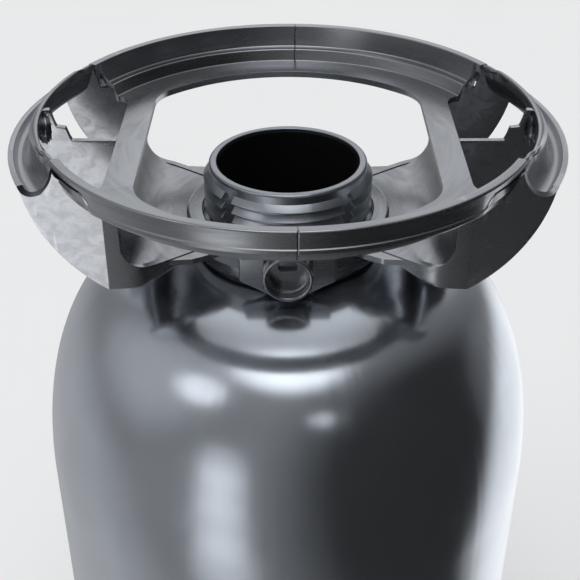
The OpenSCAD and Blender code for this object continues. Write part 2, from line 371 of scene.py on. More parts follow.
def silver_finish(settings):
    """Silver-pigmented gloss: fine flakes, slow waves left by blowing, faint scuffs."""
    f = Finish("silver_gloss")
    base = settings.shell_colour
    cloud = f.grain(f.object, 26, 3, 0.5, 0.6)
    flake = f.grain(f.object, 2600, 1, 0.5)
    haze = f.grain(f.object, 38, 4, 0.6, 0.4)
    tint = f.blend(f.ramp(cloud, 0.3, 0.7), rgba(base, 0.95), rgba(base, 1.03))
    tint = f.blend(f.ramp(flake, 0.5, 0.8, 0.0, 0.25), tint, rgba(base, 1.25))
    # The neck is moulded, not blown: darker and satin
    height = f.node("ShaderNodeSeparateXYZ", i0=f.object).outputs[2]
    neck = f.ramp(height, (CROWN - 1.5) * MM, (CROWN + 0.5) * MM)
    tint = f.blend(neck, tint, rgba(base, 0.56))
    f.feed(f.shader.inputs["Base Color"], tint)
    rough = f.sum("ADD", settings.shell_roughness - 0.02, f.ramp(haze, 0.4, 0.75, 0.0, 0.05))
    rough = f.sum("MULTIPLY_ADD", neck, 0.10, rough)
    f.feed(f.shader.inputs["Roughness"], rough)
    waves = f.grain(f.object, 12, 2, 0.4, 0.2)
    drawn = f.grain(f.around(4, 5, 2.5), 1.0, 2, 0.45, 0.4)
    bump = f.relief(waves, 0.16, 0.0020)
    bump = f.relief(drawn, 0.10, 0.0014, bump)
    f.feed(f.shader.inputs["Normal"], bump)
    f.shader.inputs["Metallic"].default_value = 0.96
    f.shader.inputs["Coat Weight"].default_value = 0.35
    f.shader.inputs["Coat Roughness"].default_value = 0.07
    f.shader.inputs["Specular IOR Level"].default_value = 0.5
    return f.material


def black_finish(settings):
    """The glossy black barrier layer, with fine drawn lines."""
    f = Finish("black_gloss")
    base = settings.liner_colour
    lines = f.grain(f.around(300, 3.0, 900), 1.0, 3, 0.6)
    dust = f.grain(f.object, 700, 4, 0.6)
    f.feed(f.shader.inputs["Base Color"],
           f.blend(f.ramp(dust, 0.55, 0.8), rgba(base), rgba(base, 3.0)))
    f.feed(f.shader.inputs["Roughness"], f.ramp(lines, 0.3, 0.7, 0.28, 0.42))
    f.feed(f.shader.inputs["Normal"], f.relief(lines, 0.10, 0.0002))
    return f.material


def grey_finish(settings):
    """Grey pigmented plastic: flow streaks round the neck, a knit line and a painted highlight
    along convex edges.
    """
    if "grey_plastic" in bpy.data.materials:
        return bpy.data.materials["grey_plastic"]
    f = Finish("grey_plastic")
    base = settings.handle_colour
    streak = f.grain(f.around(200, 1.6, 240), 1.0, 4, 0.55, 0.7)
    patch = f.grain(f.object, 30, 3, 0.55, 1.0)
    speck = f.grain(f.object, 4200, 2, 0.6)
    marks = f.sum("MULTIPLY", f.ramp(streak, 0.40, 0.62), settings.flow_marks)
    fine = f.grain(f.around(900, 2.5, 900), 1.0, 2, 0.5, 0.5)
    tint = f.blend(marks, rgba(base, 1.05), rgba(base, 0.78))
    tint = f.blend(f.ramp(fine, 0.42, 0.66, 0.0, 0.25), tint, rgba(base, 0.8))
    tint = f.blend(f.ramp(patch, 0.35, 0.75, 0.0, 0.3), tint, rgba(base, 1.15))
    tint = f.blend(f.ramp(speck, 0.55, 0.8, 0.0, 0.25), tint, rgba(base, 1.4))
    # The knit line runs across the rim just beside the middle, front and back
    x, y = f.node("ShaderNodeSeparateXYZ", i0=f.object).outputs[:2]
    wander = f.sum("MULTIPLY_ADD", f.grain(f.object, 160, 2), 0.0012, 0.0024)
    away = f.sum("ABSOLUTE", f.sum("SUBTRACT", x, wander))
    line = f.sum("MULTIPLY", f.ramp(away, 0.0, 0.00042, 1.0, 0.0),
                 f.ramp(f.sum("ABSOLUTE", y), 0.066, 0.070))
    tint = f.blend(f.sum("MULTIPLY", line, 0.75), tint, rgba(base, 0.25))
    # Painted highlight: the convex edges are lightened in the colour, as if they caught the light
    painted_edge_highlight = f.ramp(f.node("ShaderNodeNewGeometry").outputs["Pointiness"], 0.53, 0.62, 0.0, 0.35)
    f.feed(f.shader.inputs["Base Color"], f.blend(painted_edge_highlight, tint, rgba(base, 1.6)))
    rough = f.sum("ADD", settings.handle_roughness, f.ramp(streak, 0.3, 0.75, -0.03, 0.09))
    f.feed(f.shader.inputs["Roughness"], f.sum("ADD", rough, f.ramp(speck, 0.4, 0.8, 0.0, 0.06)))
    bump = f.relief(patch, 0.04, 0.0008)
    bump = f.relief(streak, 0.05, 0.0002, bump)
    bump = f.relief(speck, 0.05, 0.00005, bump)
    bump = f.relief(line, 0.6, -0.0002, bump)
    f.feed(f.shader.inputs["Normal"], bump)
    f.shader.inputs["Metallic"].default_value = 0.95
    f.shader.inputs["Coat Weight"].default_value = 0.15
    f.shader.inputs["Coat Roughness"].default_value = 0.18
    return f.material


# ---- Vessel ----------------------------------------------------------------

# Heights of the top of the dome and of the neck's bead
CROWN, BEAD_TOP = 324.0, 336.4
# The base: rise of its centre, the feet's inner and outer radius, and the valleys' slope
CENTRE_RISE = 9.0
FOOT_IN, FOOT_OUT = 50.0, 72.0
VALLEY_SLOPE = math.tan(math.radians(22))
# How square the curves of the base and of the dome are; 2 would be an ellipse
BASE_POWER, DOME_POWER = 2.2, 4.5
# The thread: radius at its root, number of ridges, and the angle without them per quarter
THREAD_ROOT, THREAD_RIDGES, THREAD_GAP = 29.4, 4, 9.0
# Vessel pieces keep an edge soft up to this angle
SHELL_SHARP_ABOVE = 62


def body_profile(m, inset, end_radius, steps=44):
    """Centre of the base to the foot of the neck, its faces set in by a distance."""
    outer, base = m["body_radius"], m["base_height"]
    shoulder = CROWN - m["dome_height"]
    foot = [(0, CENTRE_RISE + inset), (6, CENTRE_RISE + inset), (12, CENTRE_RISE + inset - 0.4)]
    foot += [(12 + (FOOT_IN - 12) * k / 12,
              inset + (CENTRE_RISE - 0.4) * (1 - smooth(k / 12, -0.25, 1.0)) / 0.9)
             for k in range(1, 13)]
    foot += [(FOOT_IN + (FOOT_OUT - FOOT_IN) * k / 6, inset) for k in range(1, 6)]
    wall = []
    for k in range(29):
        t = math.sin(math.pi / 2 * k / 28)
        wall.append((FOOT_OUT - inset / 2
                     + (outer - FOOT_OUT - inset / 2) * t ** (1 / BASE_POWER),
                     inset + (base - inset)
                     * (1 - (1 - t ** BASE_POWER) ** (1 / BASE_POWER))))
    straight = [(outer - inset, base + (shoulder - base) * k / 8) for k in range(1, 8)]
    last = math.sqrt(1 - (end_radius / (outer - inset)) ** DOME_POWER)
    dome = []
    for k in range(steps + 1):
        t = last * math.sin(math.pi / 2 * k / steps)
        dome.append(((outer - inset) * (1 - t * t) ** (1 / DOME_POWER),
                     shoulder + (m["dome_height"] - inset) * t))
    return foot + wall + straight + dome


def press_valleys(bm, m, feet, inset):
    """Pushes the valleys between the feet up into the base of a skin."""
    for v in bm.verts:
        radius = math.hypot(v.co.x, v.co.y)
        if v.co.z > m["base_height"] + 20 or radius < 1e-6:
            continue
        angle = (math.degrees(math.atan2(v.co.y, v.co.x)) - 90 + 180 / feet) % (360 / feet)
        across = radius * math.sin(math.radians(abs(angle - 180 / feet)))
        half = 11 + 0.16 * radius
        hollow = 1 - smooth(across, 0.22 * half, 1.05 * half)
        rise = CENTRE_RISE + 3.5 + 1.6 * inset + radius * VALLEY_SLOPE - v.co.z
        v.co.z += hollow * 0.5 * (rise + math.sqrt(rise * rise + 16))
    return bm


def joined(*skins):
    """Skins that share a ring, merged into one closed shell."""
    return faced(merged(skins))


def thread_sector(m, start, sweep):
    """Level buttress ridges over one sector, cut off square at both ends."""
    top, pitch, root, crest = MOUTH - 3.6, m["thread_pitch"], THREAD_ROOT, m["thread_radius"]
    outline = [(root - 0.6, top)]
    for ridge in range(THREAD_RIDGES):
        z = top - ridge * pitch
        outline += [(root, z), (crest - 0.25, z - 0.56 * pitch), (crest, z - 0.61 * pitch),
                    (crest - 0.2, z - 0.67 * pitch), (root, z - 0.74 * pitch)]
    outline += [(root - 0.6, top - THREAD_RIDGES * pitch)]
    return soften(spun(outline, start, sweep, 90), 0.12, 1, 80)


class KEG_OT_vessel(bpy.types.Operator):
    """Builds the silver shell with its feet, neck, thread and bead"""

    bl_idname = "keg.vessel"
    bl_label = "Vessel"

    def execute(self, context):
        s = context.scene.keg_vessel
        m = in_mm(s)
        bore = m["bore_radius"]
        neck = [(30.6, CROWN), (30.6, BEAD_TOP - 4.9), (30.9, BEAD_TOP - 4.5),
                (34.1, BEAD_TOP - 3.5), (34.45, BEAD_TOP - 3.2), (34.5, BEAD_TOP - 2.9),
                (34.5, BEAD_TOP - 0.7), (34.3, BEAD_TOP - 0.15), (33.9, BEAD_TOP),
                (30.3, BEAD_TOP), (29.8, BEAD_TOP + 0.15), (29.5, BEAD_TOP + 0.6),
                (29.5, MOUTH - 3.0), (29.45, MOUTH - 2.7), (29.5, MOUTH - 2.4),
                (29.5, MOUTH - 1.3)]
        neck += [(28.2 + 1.3 * math.cos(a), MOUTH - 1.3 + 1.3 * math.sin(a))
                 for a in (math.radians(15 * k) for k in range(1, 7))]
        neck += [(27.2, MOUTH), (26.75, MOUTH - 0.1), (bore, MOUTH - 0.45)]
        outside = body_profile(m, 0, 33.5) + [(31.6, CROWN - 2.6), (30.75, CROWN - 1.4)] + neck
        inside = body_profile(m, m["wall"], bore + 3)
        inside += [(bore + 0.9, CROWN - 3.4), (bore, CROWN - 2.0), (bore, MOUTH - 0.45)]
        shell = joined(press_valleys(skin(outside), m, s.feet, 0),
                       press_valleys(skin(inside), m, s.feet, m["wall"]))
        sectors = [thread_sector(m, 45 + 90 * k + THREAD_GAP / 2, 90 - THREAD_GAP)
                   for k in range(4)]
        piece("keg_shell", [shell] + sectors, "vessel", "keg_body",
              silver_finish(s), SHELL_SHARP_ABOVE)
        return {"FINISHED"}


class KEG_OT_liner(bpy.types.Operator):
    """Builds the black layer that lines the vessel"""

    bl_idname = "keg.liner"
    bl_label = "Barrier layer"

    def execute(self, context):
        s = context.scene.keg_vessel
        m = in_mm(s)
        bore, thin, gap = m["bore_radius"], m["liner"], 0.03
        skins = []
        for inset, radius in ((m["wall"] + gap, bore - gap), (m["wall"] + thin, bore - thin)):
            profile = body_profile(m, inset, radius + 3)
            profile += [(radius + 0.9, CROWN - 3.4), (radius, CROWN - 2.0),
                        (radius, MOUTH - 1.6), (bore - thin / 2, MOUTH - 0.8)]
            skins.append(press_valleys(skin(profile), m, s.feet, inset))
        piece("barrier_layer", [joined(*skins)], "vessel", "barrier_liner",
              black_finish(s), SHELL_SHARP_ABOVE)
        return {"FINISHED"}


# ---- Handle ----------------------------------------------------------------

# Radii of the rim's steps, from its flat top inwards to the edge of the deck
LAND_IN, LEDGE_OUT, LEDGE_IN, DECK_R = 86.0, 84.4, 81.0, 79.2
# Drop from the top of the rim to the foot of its skirt
SKIRT_DROP = 8.0
# The windows at the sides: their inner edge, half their length, and their corners
WINDOW_X, WINDOW_Y, WINDOW_CORNER = 63.0, 41.3, 7.0
# Half angles that the rim's steps and its flat top run to, from the front and the back
STEP_HALF, RIM_HALF = 59.3, 61.5
# Height of the scoops' floor
FLOOR = 338.0


class KEG_OT_rim(bpy.types.Operator):
    """Builds the stepped rim with its skirt and the bead along it"""

    bl_idname = "keg.rim"
    bl_label = "Rim"

    def execute(self, context):
        s = context.scene.keg_handle
        m = in_mm(s)
        rim, t = m["rim_radius"], RIM_TOP
        shapes = []
        stepped = rounded([
            (LAND_IN, t, 0.5), (rim, t, 0.9), (rim, t - 6.0, 0.1),
            (rim + 0.4, t - 6.35, 0.15), (rim + 0.4, t - SKIRT_DROP + 0.25, 0.25),
            (rim - 2.2, t - SKIRT_DROP, 0.3), (LAND_IN + 0.6, t - 10.7, 0.4),
            (LEDGE_IN + 1.6, t - 10.7, 0.4), (DECK_R + 1.7, t - 15.2, 0.4),
            (DECK_R - 0.6, t - 15.2, 0.2), (DECK_R - 0.6, t - 13.0, 0),
            (DECK_R + 0.2, t - 13.0, 0.9), (LEDGE_IN, t - 8.5, 0.7),
            (LEDGE_OUT, t - 8.5, 0.9)])
        for middle in (-90, 90):
            arc = spun(stepped, middle - RIM_HALF, 2 * RIM_HALF, 156)
            for v in arc.verts:
                radius = math.hypot(v.co.x, v.co.y)
                away = abs((math.degrees(math.atan2(v.co.y, v.co.x)) - middle + 180) % 360 - 180)
                low = t - v.co.z
                if away > STEP_HALF and radius < LAND_IN + 1 and low > 1.0:
                    # Past the window's edge only the top of the rim goes on
                    v.co.z = t - min(low, 3.4)
                    v.co.x *= (LAND_IN + 0.2) / radius
                    v.co.y *= (LAND_IN + 0.2) / radius
                    continue
                if radius < rim - 2.4 or low < 3.0 or low > SKIRT_DROP + 0.1:
                    continue
                # The skirt loses its bead, then ends in a slanted S beside the grip
                v.co.z += (low - 3.0) * smooth(away, 44.0, 47.5)
                pull = 0.5 * smooth(away, 43, 45) * smooth(low, 4.0, 6.0)
                v.co.x *= 1 - pull / radius
                v.co.y *= 1 - pull / radius
            shapes.append(arc)
        piece("handle_rim", shapes, "handle", "rim_ring", grey_finish(s))
        return {"FINISHED"}


def opening_outline(m, grow=0.0):
    """The opening in the deck: two arcs, two straight sides and four round corners."""
    half, radius, corner = m["opening_width"] / 2, m["opening_length"] / 2, 18.0
    reach = radius - corner
    cx = half - corner
    cy = math.sqrt(reach * reach - cx * cx)
    turn = math.degrees(math.atan2(cy, cx))
    points = arc_points((cx, cy), corner + grow, 0, turn, 14)
    points += arc_points((0, 0), radius + grow, turn, 180 - turn, 40)[1:]
    points += arc_points((-cx, cy), corner + grow, 180 - turn, 180, 14)[1:]
    points += [Vector((-half - grow, cy - 2 * cy * k / 8)) for k in range(1, 8)]
    points += arc_points((-cx, -cy), corner + grow, 180, 180 + turn, 14)
    points += arc_points((0, 0), radius + grow, 180 + turn, 360 - turn, 40)[1:]
    points += arc_points((cx, -cy), corner + grow, 360 - turn, 360, 14)[1:]
    points += [Vector((half + grow, -cy + 2 * cy * k / 8)) for k in range(1, 8)]
    return points


def deck_outline():
    """The outer edge of the deck, with the two windows cut from its sides."""
    edge = math.degrees(math.asin(WINDOW_Y / DECK_R))
    c = WINDOW_CORNER
    points = arc_points((0, 0), DECK_R, edge, 180 - edge, 60)
    points += arc_points((-WINDOW_X - c, WINDOW_Y - c), c, 90, 0, 6)
    points += arc_points((-WINDOW_X - c, -WINDOW_Y + c), c, 0, -90, 6)
    points += arc_points((0, 0), DECK_R, 180 + edge, 360 - edge, 60)
    points += arc_points((WINDOW_X + c, -WINDOW_Y + c), c, 270, 180, 6)
    points += arc_points((WINDOW_X + c, WINDOW_Y - c), c, 180, 90, 6)
    return points


class KEG_OT_deck(bpy.types.Operator):
    """Builds the deck round the opening, with the lip under its edge"""

    bl_idname = "keg.deck"
    bl_label = "Deck"

    def execute(self, context):
        s = context.scene.keg_handle
        m = in_mm(s)
        plate = plate_of(deck_outline(), opening_outline(m), DECK_TOP - m["plate"], DECK_TOP)
        soften(plate, 0.7, 3)
        shapes = [plate]
        outer, inner = opening_outline(m, 2.0), opening_outline(m)
        under = DECK_TOP - m["plate"]
        for side, depth, lift in ((-1, 3.2, 2.9), (1, 0.4, 0.3)):
            # The lip follows only the round ends of the opening, and fades out at its ends
            band = [(a, b) for a, b in zip(outer, inner) if side * b.y > GUSSET_Y - 6]
            band.sort(key=lambda pair: pair[1].x)
            outline = [a for a, b in band] + [b for a, b in reversed(band)]
            lip = plate_of([tuple(p) for p in outline], None, under - depth, under + 0.4)
            for v in lip.verts:
                if v.co.z < under:
                    v.co.z += lift * (1 - smooth(side * v.co.y, GUSSET_Y - 5, GUSSET_Y + 9))
            shapes.append(soften(lip, 0.35))
        piece("handle_deck", shapes, "handle", "top_deck", grey_finish(s))
        return {"FINISHED"}


# The socket: height of its axis, and how far in front its face and its floor lie
SOCKET_Z = 335.1
SOCKET_FACE, SOCKET_FLOOR = 46.0, 39.8
# How far in front the block round the socket begins and ends
BLOCK_BACK, BLOCK_FACE = -35.2, -39.0


class KEG_OT_hub(bpy.types.Operator):
    """Builds the hub that snaps over the bead, with its bowl-shaped skirt and front block"""

    bl_idname = "keg.hub"
    bl_label = "Hub"

    def execute(self, context):
        s = context.scene.keg_handle
        ring = rounded([
            (32.3, HUB_BOTTOM, 0.4), (35.2, HUB_BOTTOM, 0.8), (37.4, HUB_BOTTOM + 3.2, 2.5),
            (38.5, HUB_BOTTOM + 8.0, 2.0), (38.5, HUB_TOP, 1.2), (32.3, HUB_TOP, 0.6),
            (32.3, 337.0, 0.2), (34.9, 336.7, 0.2), (34.9, 331.6, 0.3), (32.3, 330.6, 0.3)])
        shapes = [spun(ring, 0, 360, 160)]
        # The block is cut through its middle for the socket
        low = HUB_BOTTOM + 0.3
        for left, right in ((-17.5, -8.2), (8.2, 17.5)):
            half = block((left, BLOCK_FACE, low), (right, BLOCK_BACK, HUB_TOP - 0.4))
            for v in half.verts:
                # The lower edge follows the bowl of the hub
                if v.co.z < 330 and abs(v.co.x) > 10:
                    v.co.z += 4.2
                    v.co.y += 1.6 if v.co.y < -37 else 0.0
            shapes.append(soften(faced(half), 0.9, 3))
        foot = block((-8.6, BLOCK_FACE + 0.1, low), (8.6, BLOCK_BACK, 327.6))
        shapes.append(soften(faced(foot), 0.3, 2))
        piece("handle_hub", shapes, "handle", "neck_hub", grey_finish(s))
        return {"FINISHED"}


class KEG_OT_socket(bpy.types.Operator):
    """Builds the round socket at the front, with the slot in its floor"""

    bl_idname = "keg.socket"
    bl_label = "Socket"

    def execute(self, context):
        s = context.scene.keg_handle
        floor = SOCKET_FLOOR
        tube = spun(rounded([
            (8.2, 35.4, 0), (8.7, 35.4, 0.3), (8.9, SOCKET_FACE, 0.9), (7.6, SOCKET_FACE, 0.55),
            (7.4, floor + 2.6, 0.2), (6.7, floor + 2.3, 0.2), (6.6, floor - 0.3, 0),
            (8.2, floor - 0.3, 0)]), 0, 360, 96)
        # The floor of the socket has a slot near its top, with a ledge under it
        disc = [(6.9 * math.cos(a), 6.9 * math.sin(a))
                for a in (math.tau * k / 64 for k in range(64))]
        slot = rounded([(-3.3, 0.6, 0.3), (3.3, 0.6, 0.3), (3.3, 3.6, 0.3), (-3.3, 3.6, 0.3)])
        plate = soften(plate_of(disc, [tuple(p) for p in slot], floor - 1.2, floor), 0.18)
        bar = block((-3.1, -0.15, floor - 0.2), (3.1, 0.55, floor + 0.9))
        shapes = [tube, plate, soften(faced(bar), 0.2)]
        for bm in shapes:
            bmesh.ops.rotate(bm, verts=bm.verts[:], cent=(0, 0, 0),
                             matrix=Matrix.Rotation(math.radians(90), 3, "X"))
            bmesh.ops.translate(bm, verts=bm.verts[:], vec=(0, 0, SOCKET_Z))
        piece("front_socket_tube", shapes, "handle", "front_socket",
              grey_finish(s))
        return {"FINISHED"}


# The arms: inner face of the wall under the deck, the knee in their sides, and their root
WALL_X, KNEE_X, ROOT_X, ROOT_Y = 60.6, 50.0, 27.0, 26.0


def arm_width(x):
    """Half the width of an arm: full out to the knee, then in towards the neck."""
    slope = (GUSSET_Y - ROOT_Y) / (KNEE_X - ROOT_X)
    straight = ROOT_Y + (x - ROOT_X) * slope
    gap = GUSSET_Y - straight
    return GUSSET_Y - 0.5 * (gap + math.sqrt(gap * gap + 9.0)) + 0.05


def arm_floor(x, reach=24.0):
    """Height of the scoop: a concave fall from the wall, then nearly level to the hub."""
    t = min(max((WALL_X - x) / reach, 0.0), 1.0)
    drop = 1 - (max(1 - (1 - t) ** 2.2, 0.0)) ** (1 / 2.2)
    return FLOOR + (DECK_TOP - 3.0 - FLOOR) * drop


def arm_lower(x):
    """Height of the lower edge of the flanges, which rises towards the hub."""
    reach = 52.0 - x
    rise = 0.2 * (reach + math.sqrt(reach * reach + 16))
    return min(max(RIM_TOP - 50.2, ARM_BOTTOM) + rise, FLOOR - 2.2)


# The flanges: where the corner strip begins, the round beside it, and their thickness
STRIP_X, CORNER_R, FLANGE = 57.8, 8.5, 2.4


def arm_shapes(m):
    """One arm on the -X side: the scooped floor, two flanges and the corner strips."""
    t = m["plate"]
    reach = WALL_X - 31.0

    def scoop(u, v):
        a = u ** 1.5
        x = WALL_X - reach * a
        width = arm_width(x) - 0.3
        y = (2 * v - 1) * width
        if x < 45:
            # Near the neck the surface ends on the round of the hub
            ring = math.sqrt(max(36.5 ** 2 - y * y, 0.0))
            x = 45 - (45 - ring) * (45 - x) / (45 - (WALL_X - reach)) if ring > 0 else x
        return -x, y, arm_floor(max(x, 30.0), 24.0 - 13.0 * (2 * v - 1) ** 2)

    shapes = [sheet_of(40, 36, scoop, t)]
    for side in (-1, 1):
        def flange(u, v):
            x = (WINDOW_X - 0.05) - (WINDOW_X - 29.5) * u
            near = min(max(STRIP_X - x, 0.0), CORNER_R)
            top = FLOOR + CORNER_R - math.sqrt(CORNER_R ** 2 - (CORNER_R - near) ** 2)
            if x > STRIP_X + 0.1:
                top = DECK_TOP - 1.6
            low = arm_lower(x)
            return -x, side * arm_width(x), low + (top + 0.35 - low) * v
        shapes.append(soften(sheet_of(90, 6, flange, -FLANGE * side), 0.45))
    wall = block((-WINDOW_X, -GUSSET_Y + 0.3, FLOOR - t),
                 (-WALL_X - 0.1, GUSSET_Y - 0.3, DECK_TOP - 0.3))
    shapes.append(soften(faced(wall), 0.4))
    return shapes


class KEG_OT_arms(bpy.types.Operator):
    """Builds the two scooped arms between the hub and the sides of the deck"""

    bl_idname = "keg.arms"
    bl_label = "Arms"

    def execute(self, context):
        s = context.scene.keg_handle
        m = in_mm(s)
        piece("handle_arm_left", arm_shapes(m), "handle", "left_arm",
              grey_finish(s))
        piece("handle_arm_right", [mirrored(bm) for bm in arm_shapes(m)], "handle",
              "right_arm", grey_finish(s))
        return {"FINISHED"}


# The finger trough: radius and drop of its valley, drop of its outer lip, and its wall
VALLEY_R, VALLEY_DROP, GRIP_LIP_DROP, GRIP_WALL = 95.9, 11.3, 8.6, 1.9
# Angle at which the slope from the rim meets the valley's curve
CREASE_ANGLE = 12


def grip_section(m, endwards):
    """Points (radius, height) over the rim and the finger trough.

    endwards is 0 at the middle of the grip and 1 at its ends, where the rim takes over."""
    t, outer = RIM_TOP, m["grip_radius"] - GRIP_WALL
    inner = 88.5 - 1.0 * smooth(endwards, 0.80, 0.86) - 1.3 * smooth(endwards, 0.93, 1.0)
    crease = 92.2 - 2.5 * smooth(endwards, 0.3, 1.0)
    crease_drop = 2.9 + 1.0 * smooth(endwards, 0.3, 1.0)
    points = [(inner + 0.25, t - 4.2), (inner, t - 1.3), (inner + 0.12, t - 0.55),
              (inner + 0.5, t - 0.12), (inner + 1.0, t - 0.1)]
    start = inner + 1.5
    points += [(start + (crease - start) * k / 6,
                t - 0.3 - (crease_drop - 0.3) * (k / 6) ** 1.35) for k in range(7)]
    flat, rise = math.cos(math.radians(CREASE_ANGLE)), math.sin(math.radians(CREASE_ANGLE))
    for k in range(1, 17):
        a = math.radians(CREASE_ANGLE + (90 - CREASE_ANGLE) * k / 16)
        points.append((VALLEY_R - (VALLEY_R - crease) * math.cos(a) / flat,
                       t - crease_drop - (VALLEY_DROP - crease_drop)
                       * (math.sin(a) - rise) / (1 - rise)))
    for k in range(1, 9):
        a = math.pi / 2 * k / 8
        points.append((VALLEY_R + (outer - VALLEY_R) * math.sin(a),
                       t - GRIP_LIP_DROP - (VALLEY_DROP - GRIP_LIP_DROP) * math.cos(a)))
    return points


def under_grip(m, radius, endwards, depth):
    """Height at a radius, so far under the upper face of the grip."""
    points = grip_section(m, endwards)[4:]
    for (r0, z0), (r1, z1) in zip(points, points[1:]):
        if r0 <= radius <= r1:
            return z0 + (z1 - z0) * (radius - r0) / max(r1 - r0, 1e-6) - depth
    return points[-1][1] - depth


def grip_shape(m, side):
    """One grip: the rim beside the window and the trough outside it."""
    half = math.asin(GUSSET_Y / m["grip_radius"])
    sections = len(grip_section(m, 0.0)) - 1

    def place(u, v):
        turn = (2 * u - 1) * half
        section = grip_section(m, min(abs(2 * u - 1), 1.0))
        radius, z = section[round(v * sections)]
        # The ends lie in the plane of the ribs
        turn *= 1 + (math.asin(GUSSET_Y / radius) / half - 1) * abs(2 * u - 1)
        return side * radius * math.cos(turn), radius * math.sin(turn), z
    return soften(sheet_of(96, sections, place, -GRIP_WALL * side), 0.7, 3, 55)


class KEG_OT_grips(bpy.types.Operator):
    """Builds the two grips outside the rim"""

    bl_idname = "keg.grips"
    bl_label = "Grips"

    def execute(self, context):
        s = context.scene.keg_handle
        m = in_mm(s)
        for side, name in ((-1, "left"), (1, "right")):
            piece("handle_grip_" + name, [grip_shape(m, side)], "handle",
                  name + "_grip", grey_finish(s))
        return {"FINISHED"}


# The front edge of the end ribs: (distance from the middle plane, drop from the rim)
S_EDGE = [(60.0, 21.6), (63.1, 21.2), (65.9, 19.3), (67.6, 16.6), (70.5, 15.1), (73.2, 13.2),
          (74.6, 10.0), (75.3, 7.6), (77.1, 6.1), (78.3, 3.9)]
# The upper edge of the middle ribs, which follows the steps of the rim
STEP_EDGE = [(60.0, 12.8), (79.2, 12.7), (80.0, 11.0), (81.0, 7.6), (84.3, 7.2), (85.0, 5.0),
             (86.0, 0.9), (86.6, 0.6), (88.6, 0.9)]
# The pocket at the outer end of the middle ribs: centre, half its width and height, depth
POCKET = (88.9, 7.4, 2.7, 6.0, 4.5)
# The lower edge of the end ribs and of the middle ribs: centre, drop from the rim, radius
END_ARC, MIDDLE_ARC = (32.4, 1.0, 58.0), (50.0, 4.0, 48.6)
# The end ribs lie a little behind the arms' flanges
RIB_SET_BACK = 0.4


def along(marks, x):
    """The second value of the marks at x, in straight lines between them."""
    for (x0, d0), (x1, d1) in zip(marks, marks[1:]):
        if x <= x1:
            return d0 + (d1 - d0) * max(x - x0, 0.0) / (x1 - x0)
    return marks[-1][1]


def rib_top(m, x, y, kind):
    """Height of the upper edge of a rib."""
    radius = math.hypot(x, y)
    if kind == "face" and x < S_EDGE[-1][0]:
        return RIM_TOP - along(S_EDGE, x)
    if kind == "step":
        if x < 89.6:
            return RIM_TOP - along(STEP_EDGE, x)
        return under_grip(m, radius, abs(y) / GUSSET_Y, 1.0)
    if radius < 89.0:
        # Inside the thickness of the deck and of the stepped rim
        return RIM_TOP - along([(0, 14.0), (79.6, 14.0), (81.4, 9.6), (85.0, 9.6),
                                (86.8, 2.0), (89.0, 1.6)], radius)
    return under_grip(m, radius, 1.0, 0.7)


def rib_sheet(m, y, thickness, arc, kind):
    """A rib on the -X side: a curved lower edge, a shaped upper one, and a thickness."""
    centre_x, drop, radius = arc
    bm = bmesh.new()
    bmesh.ops.create_grid(bm, x_segments=150, y_segments=36 if kind == "step" else 8, size=0.5)
    outer = math.sqrt(m["grip_radius"] ** 2 - y * y) - 0.4
    reach = min(outer, centre_x + radius - 0.02)
    near = WINDOW_X - 0.02
    for v in bm.verts:
        u, w = v.co.x + 0.5, v.co.y + 0.5
        x = near + (reach - near) * math.sin(math.pi / 2 * u) ** 1.15
        low = RIM_TOP - drop - math.sqrt(max(radius ** 2 - (x - centre_x) ** 2, 0.0))
        top = rib_top(m, x, y, kind)
        low = min(low, top - 0.4)
        v.co = Vector((-x, y, low + (top - low) * w))
        if kind == "step":
            # From here on drop is the pocket's, and it sets the lower edge too
            middle, drop, half_w, half_h, depth = POCKET
            off = ((x - middle) / half_w) ** 2 + ((RIM_TOP - drop - v.co.z) / half_h) ** 2
            v.co.y += depth * math.sqrt(max(1 - off, 0.0))
    made = bmesh.ops.extrude_face_region(bm, geom=bm.faces[:], use_keep_orig=True)["geom"]
    bmesh.ops.translate(bm, verts=[g for g in made if isinstance(g, bmesh.types.BMVert)],
                        vec=(0, thickness, 0))
    return soften(faced(bm), 0.35, 2, 60)


def rib_plate(m, y, arc, kind):
    """One rib; the front rib has a proud face that ends in an S under the rim."""
    if kind != "face":
        return [rib_sheet(m, y, m["plate"], arc, kind)]
    return [rib_sheet(m, y, 1.2, arc, "face"),
            rib_sheet(m, y + 1.0, m["plate"] - 1.0, arc, "plain")]


class KEG_OT_ribs(bpy.types.Operator):
    """Builds the six ribs that carry the grips, three on each side"""

    bl_idname = "keg.ribs"
    bl_label = "Ribs"

    def execute(self, context):
        s = context.scene.keg_handle
        m = in_mm(s)
        for place, y, arc, kind in (("front", -GUSSET_Y + RIB_SET_BACK, END_ARC, "face"),
                                    ("middle", -m["plate"] / 2, MIDDLE_ARC, "step"),
                                    ("rear", GUSSET_Y - m["plate"] - RIB_SET_BACK, END_ARC,
                                     "plain")):
            for side in ("left", "right"):
                rib = rib_plate(m, y, arc, kind)
                made = piece("handle_rib_%s_%s" % (side, place),
                             rib if side == "left" else [mirrored(bm) for bm in rib], "handle",
                             "%s_%s_gusset" % (side, place), grey_finish(s))
                card_receivers().objects.link(made)
        return {"FINISHED"}


# ---- Studio ----------------------------------------------------------------

# Direction of each patch of the surround: azimuth from the front to the right, elevation,
# inner and outer angle of its edge, and brightness
SURROUND_PATCHES = [
    (0, 74, 8, 25, 1.45),
    (0, 88, 12, 34, 0.30),
    (180, 33, 14, 46, 0.62),
    (-52, 41, 5, 14, 1.10),
    (-80, 32, 8, 40, 0.22),
    (18, 31, 2, 7, 0.85),
    (-29, -1, 1, 15, 0.50),
    (-29, -12, 2, 16, 0.45),
    (-29, -24, 2, 16, 0.45),
    (-29, -38, 2, 16, 0.50),
    (-120, -38, 10, 50, 0.22),
    (132, -32, 14, 34, 0.95),
    (110, -5, 5, 25, 0.12),
    (62, -8, 12, 84, -0.30),
]
# The darkest that a dark patch makes the surround
SURROUND_LEAST = 0.012
